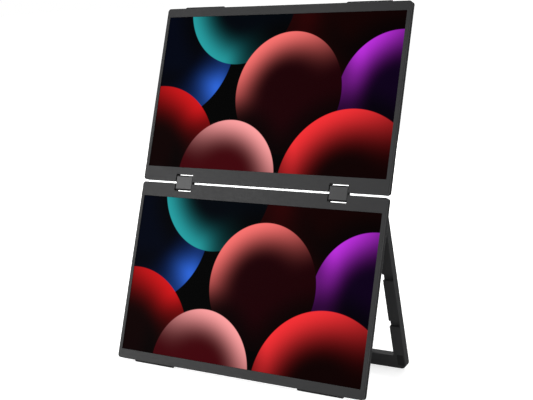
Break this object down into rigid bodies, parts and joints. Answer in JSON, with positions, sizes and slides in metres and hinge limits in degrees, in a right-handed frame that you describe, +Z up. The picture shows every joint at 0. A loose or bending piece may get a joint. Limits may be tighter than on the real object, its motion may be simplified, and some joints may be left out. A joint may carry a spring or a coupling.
{
  "type": "dual portable monitor",
  "caption": "Dual portable monitor: two wide screens stacked on two-axis hinge links that fold shut face to face, with a U-shaped stand that swings out behind the lower screen.",
  "frame": {"origin": "on the floor, under the middle of the box round the opened monitor", "axes": "+Z up, -Y towards the viewer, +X to the viewer's right"},
  "size_m": [0.3548, 0.1572, 0.4266],
  "materials": {
    "bezel_plastic": "fine matte",
    "case_plastic": "fine matte",
    "stand_plastic": "fine matte",
    "screen_glass": "anti-glare",
    "backlight_plastic": "white diffuser",
    "circuit_board": "solder mask",
    "hinge_metal": "satin",
    "rubber": "matte",
    "button_plastic": "satin",
    "socket_metal": "satin",
    "steel": "satin"
  },
  "bodies": {
    "lower_unit": {"board_screws": "steel", "cover_screws": "steel", "electronics_cover": "case_plastic", "left_stand_bracket": "steel", "left_stand_pin": "steel", "left_stand_washer": "steel", "lower_backlight": "backlight_plastic", "lower_bracket_screws": "steel", "lower_driver_board": "circuit_board", "lower_front_bezel": "bezel_plastic", "lower_left_foot": "rubber", "lower_left_hinge_bracket": "steel", "lower_left_hinge_pin": "steel", "lower_rear_cover": "case_plastic", "lower_right_foot": "rubber", "lower_right_hinge_bracket": "steel", "lower_right_hinge_pin": "steel", "lower_screen": "screen_glass", "main_board": "circuit_board", "mini_hdmi_socket": "socket_metal", "right_stand_bracket": "steel", "right_stand_pin": "steel", "right_stand_washer": "steel", "stand_bracket_screws": "steel", "tact_switches": "button_plastic", "usb_c_socket_1": "socket_metal", "usb_c_socket_2": "socket_metal"},
    "hinge_links": {"left_hinge_link": "hinge_metal", "right_hinge_link": "hinge_metal"},
    "upper_unit": {"upper_backlight": "backlight_plastic", "upper_bracket_screws": "steel", "upper_driver_board": "circuit_board", "upper_front_bezel": "bezel_plastic", "upper_left_bumper": "rubber", "upper_left_hinge_bracket": "steel", "upper_left_hinge_pin": "steel", "upper_rear_cover": "case_plastic", "upper_right_bumper": "rubber", "upper_right_hinge_bracket": "steel", "upper_right_hinge_pin": "steel", "upper_screen": "screen_glass"},
    "stand": {"left_rest_pad": "rubber", "right_rest_pad": "rubber", "stand_frame": "stand_plastic", "stand_sole": "rubber"},
    "power_button": {"power_button": "button_plastic"},
    "menu_button": {"menu_button": "button_plastic"},
    "up_button": {"up_button": "button_plastic"},
    "down_button": {"down_button": "button_plastic"}
  },
  "joints": [
    {"name": "lower_fold", "type": "hinge", "parent": "lower_unit", "child": "hinge_links", "pos_m": [0, -0.00162, 0.20813], "axis": [1, 0, 0], "range_deg": [-15, 90]},
    {"name": "upper_fold", "type": "hinge", "parent": "hinge_links", "child": "upper_unit", "pos_m": [0, 0.0019, 0.21802], "axis": [1, 0, 0], "range_deg": [-15, 90]},
    {"name": "stand_swing", "type": "hinge", "parent": "lower_unit", "child": "stand", "pos_m": [0, 0.00324, 0.19494], "axis": [1, 0, 0], "range_deg": [-30, 40]},
    {"name": "power_button_press", "type": "slide", "parent": "lower_unit", "child": "power_button", "axis": [1, 0, 0], "range_m": [0, 0.00035], "stiffness_N_per_m": 4000},
    {"name": "menu_button_press", "type": "slide", "parent": "lower_unit", "child": "menu_button", "axis": [1, 0, 0], "range_m": [0, 0.00035], "stiffness_N_per_m": 4000},
    {"name": "up_button_press", "type": "slide", "parent": "lower_unit", "child": "up_button", "axis": [1, 0, 0], "range_m": [0, 0.00035], "stiffness_N_per_m": 4000},
    {"name": "down_button_press", "type": "slide", "parent": "lower_unit", "child": "down_button", "axis": [1, 0, 0], "range_m": [0, 0.00035], "stiffness_N_per_m": 4000}
  ]
}
